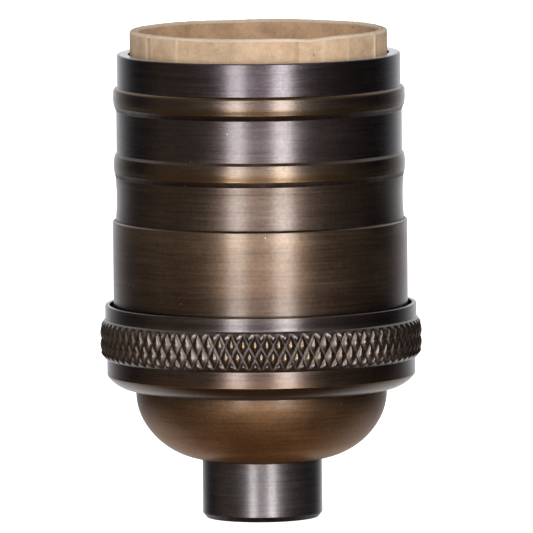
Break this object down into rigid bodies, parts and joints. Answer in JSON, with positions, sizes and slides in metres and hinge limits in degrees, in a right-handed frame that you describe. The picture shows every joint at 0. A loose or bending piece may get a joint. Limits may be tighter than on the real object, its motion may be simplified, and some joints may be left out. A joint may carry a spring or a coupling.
{
  "type": "keyless lamp socket",
  "caption": "Turned brass keyless lamp socket: bowl cap with a threaded neck, knurled union ring, beaded shell, board liner and screw-shell interior.",
  "frame": {"origin": "centre of the open end of the neck, which the socket stands on", "axes": "+Z along the socket's axis, up towards the lamp opening; +Y away from the camera, where the set screw is; terminals at +X and -X"},
  "size_m": [0.0382, 0.0382, 0.0581],
  "materials": {
    "bronzed_brass": "dark antique bronze, brushed round, worn to brass on edges",
    "steel": "blackened steel",
    "fibre": "dark grey vulcanised fibre",
    "board": "plain brown board",
    "phenolic": "black moulded phenolic",
    "sheet_brass": "bright rolled sheet",
    "spring_bronze": "bright spring strip",
    "brass_rivet": "bright",
    "brass_screw": "bright turned",
    "nickel": "nickel plated"
  },
  "bodies": {
    "cap": {"cap": "bronzed_brass", "cap_liner": "fibre"},
    "ring": {"knurled_ring": "bronzed_brass"},
    "set_screw": {"set_screw": "steel"},
    "interior": {"interior_body": "phenolic", "interior_base": "phenolic", "screw_shell": "sheet_brass", "floor_insulator": "fibre", "contact_rivet": "brass_rivet", "hot_strap": "sheet_brass", "neutral_strap": "nickel", "shell_rivet_left": "brass_rivet", "shell_rivet_right": "brass_rivet"},
    "contact": {"centre_contact": "spring_bronze"},
    "hot_screw": {"hot_terminal_screw": "brass_screw"},
    "neutral_screw": {"neutral_terminal_screw": "nickel"},
    "shell": {"outer_shell": "bronzed_brass", "cardboard_liner": "board"}
  },
  "joints": [
    {"name": "ring_turn", "type": "hinge", "parent": "cap", "child": "ring", "pos_m": [0, 0, 0.02], "axis": [0, 0, -1], "range_deg": [0, 1260]},
    {"name": "interior_lift", "type": "slide", "parent": "cap", "child": "interior", "axis": [0, 0, 1], "range_m": [0, 0.025]},
    {"name": "shell_lift", "type": "slide", "parent": "interior", "child": "shell", "axis": [0, 0, 1], "range_m": [0, 0.045]},
    {"name": "contact_flex", "type": "hinge", "parent": "interior", "child": "contact", "pos_m": [0.00304, -0.00304, 0.03232], "axis": [-0.7071, -0.7071, 0], "range_deg": [0, 14], "stiffness_Nm_per_rad": 0.02, "deforming": ["centre_contact"]},
    {"name": "hot_screw_travel", "type": "slide", "parent": "interior", "child": "hot_screw", "axis": [1, 0, 0], "range_m": [0, 0.0016]},
    {"name": "neutral_screw_travel", "type": "slide", "parent": "interior", "child": "neutral_screw", "axis": [-1, 0, 0], "range_m": [0, 0.0016]},
    {"name": "set_screw_travel", "type": "slide", "parent": "cap", "child": "set_screw", "axis": [0, 1, 0], "range_m": [0, 0.0016]}
  ]
}
